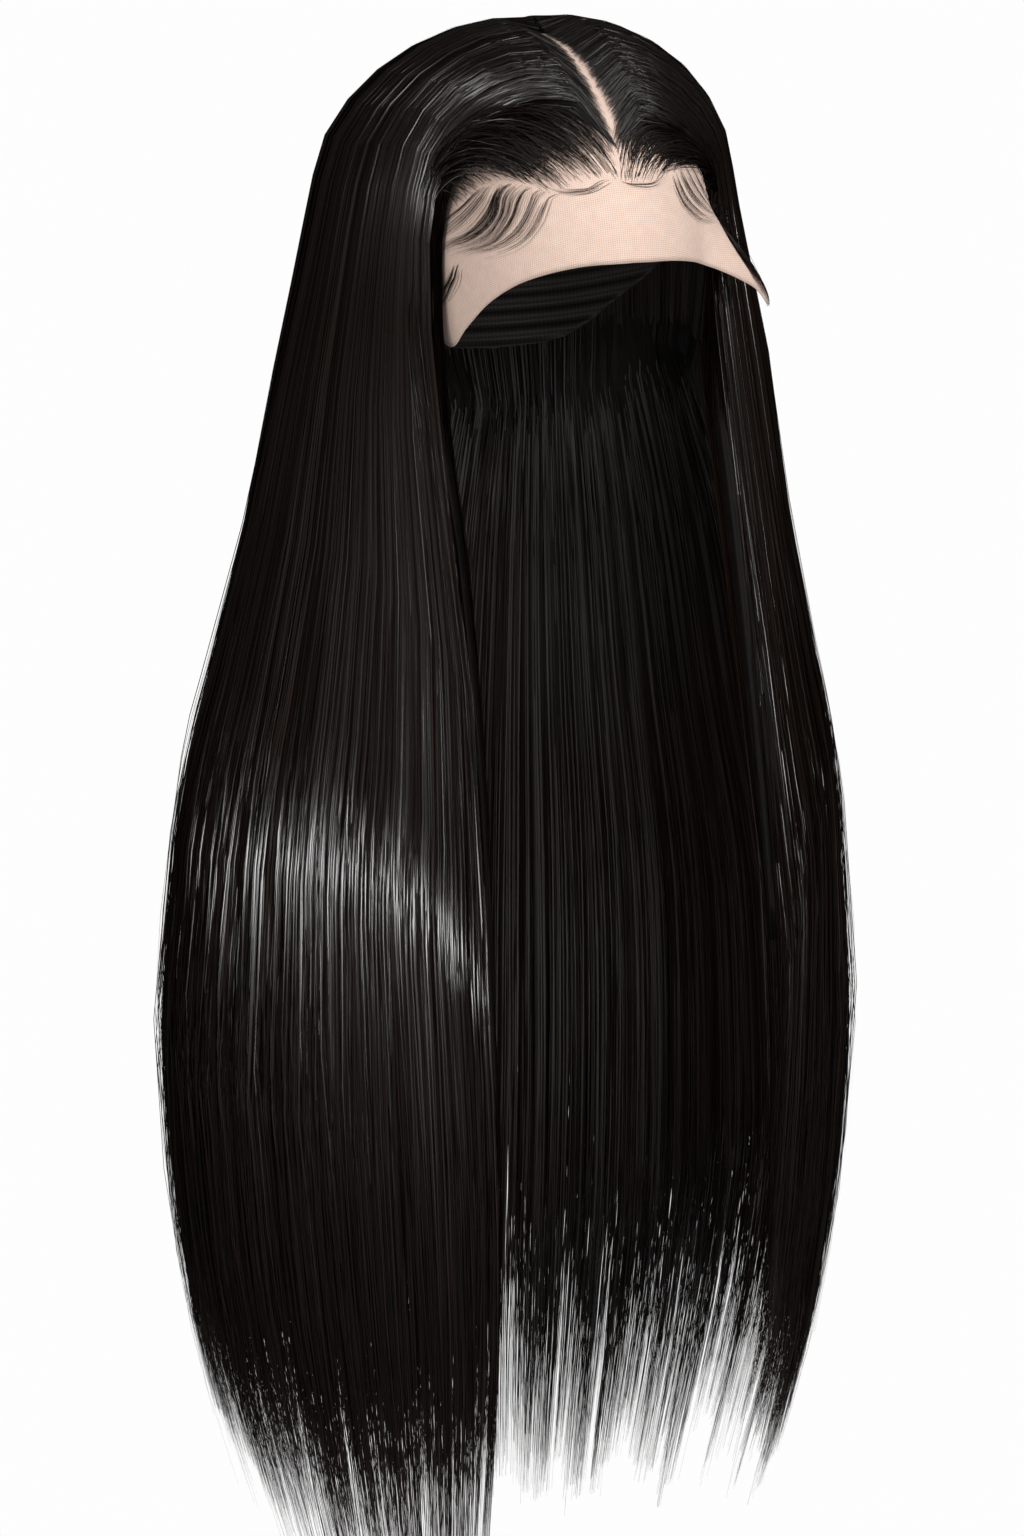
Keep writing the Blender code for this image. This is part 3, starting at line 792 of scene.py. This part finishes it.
# Where the hair starts on the lace on each side of the part: first the angle round the head and how
# far down the lace the roots lie next to the part, then marks read off a close-up, then rows again
# down to the ear.
HAIRLINE = {
    "right": (
        ((2.5, 0.755), (9.0, 0.75), (14.0, 0.75), (20.0, 0.76)),
        "temple",
        ((1250, 310), (1100, 290), (930, 235), (780, 215), (650, 230), (540, 270), (430, 350),
         (330, 420), (200, 520), (100, 620)),
        ((68.0, 0.69), (70.0, 0.78), (72.0, 0.90)),
    ),
    "left": (
        ((-2.0, 0.76),),
        "brow",
        ((950, 1290), (1060, 1290), (1180, 1250), (1250, 1210)),
        ((32.0, 0.70), (38.5, 0.67), (44.0, 0.66), (47.0, 0.69), (48.5, 0.76), (49.5, 0.83),
         (51.0, 0.89), (54.0, 0.94), (58.0, 0.97)),
    ),
}

# Lines that the baby hairs follow, from the outermost of a cluster to its innermost: how many
# hairs, how many of them are bundles, their width in mm, how high they arch off the lace, the
# close-up that their marks were read off, then the lines. Without a close-up, a line is angles and
# places down the lace.
BABY_HAIRS = (
    (190, 17, 0.17, 0.0010, "temple", (
        ((1340, 350), (1240, 370), (1190, 450), (1150, 590), (1060, 740), (960, 860), (800, 950),
         (620, 990), (500, 980)),
        ((1230, 310), (1130, 360), (1060, 500), (990, 640), (900, 760), (760, 850), (600, 900),
         (440, 940), (300, 990)),
        ((1080, 290), (1000, 320), (950, 450), (900, 580), (820, 700), (700, 800), (560, 870),
         (400, 900), (200, 960)),
        ((930, 250), (850, 300), (790, 400), (760, 520), (700, 640), (600, 770), (450, 850),
         (300, 890), (100, 950)),
        ((780, 230), (700, 290), (660, 390), (640, 500), (580, 620), (470, 720), (330, 800),
         (180, 840), (30, 880)),
        ((650, 240), (600, 330), (560, 430), (490, 540), (400, 640), (290, 730), (160, 790),
         (60, 830), (10, 850)),
        ((560, 260), (480, 300), (400, 380), (300, 480), (200, 560), (130, 620), (80, 680),
         (40, 720), (10, 760)),
    )),
    (44, 6, 0.20, 0.0010, "temple", (
        ((340, 1010), (320, 1090), (310, 1180), (280, 1270), (230, 1350), (160, 1410), (110, 1450)),
        ((240, 1020), (220, 1100), (190, 1180), (150, 1260), (110, 1350), (80, 1420), (60, 1500)),
        ((140, 1050), (110, 1130), (80, 1200), (50, 1280), (40, 1350), (30, 1420), (20, 1480)),
    )),
    (16, 6, 0.12, 0.0006, "brow", (
        ((820, 1290), (760, 1330), (680, 1370), (580, 1390), (480, 1390), (400, 1360), (330, 1320)),
        ((760, 1280), (690, 1300), (620, 1350), (520, 1362), (440, 1362), (350, 1340), (250, 1290)),
    )),
    (14, 5, 0.12, 0.0006, "brow", (
        ((840, 1280), (900, 1320), (980, 1350), (1060, 1360), (1130, 1340), (1190, 1300), (1230, 1260)),
        ((860, 1290), (920, 1310), (1000, 1310), (1070, 1300), (1120, 1280), (1160, 1240), (1190, 1210)),
    )),
    (84, 9, 0.17, 0.0008, None, (
        ((20.0, 0.76), (21.0, 0.80), (24.0, 0.85), (31.0, 0.88), (38.0, 0.88), (44.0, 0.86)),
        ((27.5, 0.72), (28.0, 0.76), (31.0, 0.80), (37.0, 0.82), (43.0, 0.82), (49.0, 0.79)),
        ((38.0, 0.68), (41.0, 0.70), (43.5, 0.72), (46.0, 0.74), (48.5, 0.76), (51.0, 0.78)),
    )),
    (130, 12, 0.30, 0.0010, None, (
        ((47.0, 0.80), (46.5, 0.86), (47.0, 0.91), (48.5, 0.945), (50.0, 0.975), (52.5, 0.99)),
        ((50.0, 0.78), (50.0, 0.85), (51.0, 0.905), (52.5, 0.945), (54.5, 0.972), (57.0, 0.988)),
        ((53.0, 0.76), (54.5, 0.85), (56.5, 0.915), (58.0, 0.955), (60.0, 0.98), (62.0, 0.99)),
    )),
)


def lace_in_photo():
    """A fine grid of the lace, with where each of its points lies in the photograph."""
    angles = np.arange(-SEAM_ANGLE, SEAM_ANGLE + 0.1, 0.25)[:, None]
    shares = np.arange(0.02, 1.001, 0.0025)[None, :]
    angles, shares = np.broadcast_arrays(angles, shares)
    points = lace_point(angles, shares)
    place, right, up, ahead = (np.array(part) for part in camera_axes())
    sight = points - place
    depth = sight @ ahead
    middle_x, middle_y = PHOTO_WIDTH / 2, PHOTO_HEIGHT / 2
    scale = middle_y / math.tan(math.radians(CAMERA_ANGLE) / 2)
    x = middle_x + scale * (sight @ right) / depth
    y = middle_y - scale * (sight @ up) / depth
    out = np.cross(np.gradient(points, axis=1), np.gradient(points, axis=0))
    out = out * np.sign((out * (points - CENTRE)).sum(-1))[..., None]
    shown = (out * -sight).sum(-1) > 0
    return angles[shown], shares[shown], x[shown], y[shown]


def on_lace(seen, close_up, marks):
    """Angles and places down the lace of marks that were read off a close-up."""
    marks = np.array(marks, float)
    if close_up is None:
        return marks
    left, top, zoom = CLOSE_UPS[close_up]
    angles, shares, x, y = seen
    nearest = [np.argmin((x - left - across / zoom) ** 2 + (y - top - down / zoom) ** 2)
               for across, down in marks]
    return np.stack((angles[nearest], shares[nearest]), -1)


def hairline_rows(side, seen):
    """Angles from the part and places down the lace of the first roots."""
    at_part, close_up, marks, to_ear = HAIRLINE[side]
    middle = on_lace(seen, close_up, marks) * (SIGN[side], 1.0)
    return np.concatenate((at_part, middle, to_ear))


def lace_height(angle, share, height):
    """Points over the lace's outer face."""
    point = lace_point(angle, share)
    down = lace_point(angle, share + BESIDE) - lace_point(angle, share - BESIDE)
    beside = lace_point(angle + 0.5, share) - lace_point(angle - 0.5, share)
    out = unit(np.cross(down, beside))
    out = out * np.sign((out * (point - CENTRE)).sum(-1))[..., None]
    return point + out * (LACE_SHEET + height)[..., None], out


def smooth_line(knots, at):
    """Places on a smooth curve through knots at places from 0 to 1."""
    last = len(knots) - 1
    where = np.clip(at, 0, 1) * last
    i = np.clip(where.astype(int), 0, last - 1)
    t = where - i
    before, after = np.maximum(i - 1, 0), np.minimum(i + 2, last)
    a, b, c, d = knots[before], knots[i], knots[i + 1], knots[after]
    t = t.reshape(t.shape + (1,) * (b.ndim - t.ndim))
    return b + 0.5 * t * (c - a + t * (2 * a - 5 * b + 4 * c - d + t * (3 * (b - c) + d - a)))


def baby_hairs(material, seen):
    """Fine short hairs that curl down over the lace in front of the hairline."""
    rng = np.random.default_rng(71)
    paths, outs, widths = [], [], []
    steps = 12
    for count, bundles, wide, arch, close_up, lines in BABY_HAIRS:
        lines = np.array([on_lace(seen, close_up, line) for line in lines])
        family = rng.uniform(0, 1, count) ** 0.75
        bundle = rng.uniform(0.10, 1, bundles) ** 0.8
        bundled = bundle[rng.integers(0, bundles, count)] + rng.normal(0, 0.014, count)
        family = np.clip(np.where(rng.uniform(0, 1, count) < 0.55, bundled, family), 0, 1)
        first = rng.uniform(0.0, 0.22, (count, 1))
        end = rng.uniform(0.62, 1.0, (count, 1))
        at = mix(first, end, np.linspace(0, 1, steps)[None, :])
        rows = smooth_line(lines, family)
        path = np.stack([smooth_line(rows[i], at[i]) for i in range(count)])
        wiggle = rng.normal(0, 1, (count, 2)) * (0.4, 0.004)
        path = path + wiggle[:, None, :] * np.linspace(0.2, 1, steps)[None, :, None]
        share = np.linspace(0, 1, steps)[None, :]
        height = 0.00012 + arch * rng.uniform(0.1, 1.0, (count, 1)) * np.sin(np.pi * share)
        points, out = lace_height(path[..., 0], np.minimum(path[..., 1], 0.992), height)
        paths.append(points)
        outs.append(out)
        taper = np.minimum(1.0, 0.45 + share * 3) * (1 - 0.75 * ease((share - 0.45) / 0.55))
        widths.append(wide * 0.001 * rng.uniform(0.6, 1.3, (count, 1)) * taper)
    path, out = np.concatenate(paths), np.concatenate(outs)
    ahead = np.gradient(path, axis=1)
    across = unit(np.cross(out, ahead))
    roll = rng.normal(0, 0.5, (len(path), 1, 1))
    across = across * np.cos(roll) + out * np.sin(roll)
    tone = rng.uniform(0.1, 0.6, (len(path), 1))
    obj = strand_object("baby_hairs", path, across, np.concatenate(widths), tone, material)
    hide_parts("lace_front")
    return obj


def hairline_strands(side, material, seen):
    """Strands that start on the lace and flow back under the front edge of the hair."""
    rng = np.random.default_rng(83 if side == "right" else 89)
    count, steps = 1000, 15
    line = hairline_rows(side, seen)
    angle = rng.uniform(line[0, 0], line[-1, 0], (count, 1))
    back = 0.14 * rng.uniform(0, 1, (count, 1)) ** 1.15
    share = read_table(line, 1, angle) - back + rng.normal(0, 0.006, (count, 1))
    root, _ = lace_height(SIGN[side] * angle, share, np.full_like(share, 0.0001))
    q = rng.uniform(0.001, 0.05, (count, 1))
    near = root_point(side, q)[..., 0]
    foot = section_point(side, q, np.full_like(q, FALL_LEVEL))[..., 0]
    out_share = np.clip((root[..., 0] - near) / (foot - near), 0.0, 0.97)
    away = ease(out_share / 0.5)
    deep = rng.uniform(0, 1, (count, 1)) * mix(0.75, 0.85, away) + mix(-0.04, 0.12, away)
    first = np.arcsin(out_share) * 2 / np.pi
    t = np.linspace(0, 1, steps)[None, :]
    along = first + (np.minimum(first + rng.uniform(0.40, 0.75, (count, 1)), 1.16) - first) * t
    tip = np.full((count, 1), HAIR_DROP)
    turn = (along - first) / 0.15
    q = q * mix(0.4, 1.0, away) + swirl(0.0, along)
    q = q + rng.uniform(0.0, 0.06, (count, 1)) * away * turn * np.exp(1.0 - turn)
    goal = hair_point(side, q, along, tip, deep, 0.0)
    start = goal[:, :1]
    fade = (1 - t) ** rng.uniform(1.6, 2.6, (count, 1))
    path = goal + (root - start) * fade[..., None]
    # None dips under the lace.
    way = path - CENTRE
    radius = length_of(way)[..., 0]
    least = form_radius(unit(way)) + LACE_SHEET + 0.0002
    low = path[..., 2] > -RISE
    path = CENTRE + unit(way) * np.where(low, np.maximum(radius, least), radius)[..., None]
    face = unit(path - CENTRE)
    ahead = np.gradient(path, axis=1)
    across = unit(np.cross(face, unit(ahead)))
    roll = rng.normal(0, 0.4, (count, 1)) + np.zeros_like(t)
    across = across * np.cos(roll)[..., None] + face * np.sin(roll)[..., None]
    taper = np.minimum(1.0, 0.35 + t * 4) * (1 - 0.6 * ease((t - 0.8) / 0.2))
    width = 0.00036 * rng.uniform(0.6, 1.4, (count, 1)) * taper
    tone = rng.beta(2.0, 3.2, (count, 1)) * 0.8
    obj = strand_object(f"hairline_{side}", path, across, width, tone, material)
    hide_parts(f"hair_{side}_front")
    return obj


def add_light(name, place, target, size, power, colour=(1.0, 1.0, 1.0), spin=0.0):
    """A soft rectangular light that looks at a point."""
    data = bpy.data.lights.new(name, "AREA")
    data.shape = "RECTANGLE"
    data.size, data.size_y = size
    data.energy = power
    data.color = colour
    obj = bpy.data.objects.new(name, data)
    obj.location = place
    way = Vector(target) - Vector(place)
    turn = way.to_track_quat("-Z", "Y")
    obj.rotation_euler = turn.to_euler()
    obj.rotation_euler.rotate_axis("Z", spin)
    bpy.context.scene.collection.objects.link(obj)
    return obj


def camera_axes():
    """Where the camera stands, and the ways to its right, up and ahead."""
    turn, rise = math.radians(CAMERA_AZIMUTH), math.radians(CAMERA_ELEVATION)
    right = Vector((math.cos(turn), math.sin(turn), 0.0))
    ahead = Vector((-math.sin(turn) * math.cos(rise), math.cos(turn) * math.cos(rise), -math.sin(rise)))
    return CAMERA_TARGET - ahead * CAMERA_DISTANCE, right, right.cross(ahead), ahead


def add_camera():
    """The camera at the photograph's angle."""
    place, _, _, ahead = camera_axes()
    data = bpy.data.cameras.new("camera")
    data.sensor_fit = "VERTICAL"
    data.angle = math.radians(CAMERA_ANGLE)
    data.clip_end = 200
    camera = bpy.data.objects.new("camera", data)
    camera.location = place
    camera.rotation_euler = ahead.to_track_quat("-Z", "Y").to_euler()
    bpy.context.scene.collection.objects.link(camera)
    bpy.context.scene.camera = camera


FLOOR_Z = -1.15


def add_floor():
    """A wide plain pale floor that runs into the pale background."""
    material = bpy.data.materials.new("floor")
    material.use_nodes = True
    nodes, links = material.node_tree.nodes, material.node_tree.links
    nodes.clear()
    out = nodes.new("ShaderNodeOutputMaterial")
    glow = nodes.new("ShaderNodeEmission")
    glow.inputs["Color"].default_value = (0.985, 0.985, 0.985, 1)
    matt = nodes.new("ShaderNodeBsdfDiffuse")
    matt.inputs["Color"].default_value = (0.08, 0.08, 0.08, 1)
    path = nodes.new("ShaderNodeLightPath")
    both = nodes.new("ShaderNodeMixShader")
    links.new(path.outputs["Is Camera Ray"], both.inputs["Fac"])
    links.new(matt.outputs[0], both.inputs[1])
    links.new(glow.outputs[0], both.inputs[2])
    links.new(both.outputs[0], out.inputs["Surface"])
    mesh = bpy.data.meshes.new("floor")
    size = 60.0
    mesh.from_pydata([(-size, -size, FLOOR_Z), (size, -size, FLOOR_Z), (size, size, FLOOR_Z),
                      (-size, size, FLOOR_Z)], [], [(0, 1, 2, 3)])
    mesh.materials.append(material)
    floor = bpy.data.objects.new("floor", mesh)
    bpy.context.scene.collection.objects.link(floor)


def set_world():
    """White for the camera, and a dim grey for what the hair reflects."""
    world = bpy.data.worlds.new("studio")
    world.use_nodes = True
    nodes, links = world.node_tree.nodes, world.node_tree.links
    background = nodes["Background"]
    background.inputs["Color"].default_value = (0.045, 0.045, 0.046, 1)
    white = nodes.new("ShaderNodeBackground")
    white.inputs["Color"].default_value = (0.985, 0.985, 0.985, 1)
    path = nodes.new("ShaderNodeLightPath")
    both = nodes.new("ShaderNodeMixShader")
    links.new(path.outputs["Is Camera Ray"], both.inputs["Fac"])
    links.new(background.outputs[0], both.inputs[1])
    links.new(white.outputs[0], both.inputs[2])
    links.new(both.outputs[0], nodes["World Output"].inputs["Surface"])
    bpy.context.scene.world = world


def main():
    """Dresses the wig, lights it and sets the camera."""
    strands = hair_strand_material("hair_strands", 0.155, 0.5)
    # The inside strands are the same hair painted 1.7 times lighter, as painted fill light for the
    # shaded inside.
    inside = hair_strand_material("hair_inside_painted_fill", 0.30, 0.35, 1.7)
    fine = hair_strand_material("hair_fine", 0.25, 0.2)
    body = hair_body_material()
    lace, net = lace_material(), net_material()
    angles = np.linspace(-SEAM_ANGLE, SEAM_ANGLE, 110)
    hem = 1.0 - 0.075 * np.exp(-(((angles - 65.0) / 5.0) ** 2))
    sheet, area = dressed_shell("lace_sheet", lace_point, angles, 0.02, hem, LACE_SHEET, lace)
    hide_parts("lace_front")
    angles = np.linspace(SEAM_ANGLE, 360 - SEAM_ANGLE, 90)
    angles = np.where(angles > 180, angles - 360, angles)
    cap, area = dressed_shell("cap_net", cap_point, angles, 0.06, 1.0, 0.0005, net, 0.0004)
    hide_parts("cap")
    seen = lace_in_photo()
    for side in ("right", "left"):
        for name, first, last in PANELS:
            hair_body(side, name, first, last, body)
            locks(side, name, first, last, body)
            outer_strands(side, name, first, last, strands)
        inner_strands(side, inside)
        hairline_strands(side, fine, seen)
    baby_hairs(fine, seen)
    add_light("key", (1.23, -2.13, 1.62), (0, 0, -0.1), (0.9, 0.9), 66)
    add_light("crown", (-1.68, -1.51, 2.35), (0, 0, 0), (1.1, 1.1), 42)
    add_light("band_front", (0.2, -3.06, -0.75), (-0.06, -0.09, -0.46), (1.4, 0.2), 27, spin=-0.19)
    add_light("band_side", (-2.75, -1.6, -0.55), (-0.15, -0.05, -0.42), (1.9, 0.2), 34, spin=-0.10)
    add_floor()
    set_world()
    add_camera()
    bpy.context.scene.view_settings.view_transform = "Standard"
    bpy.context.scene.view_settings.look = "None"


main()
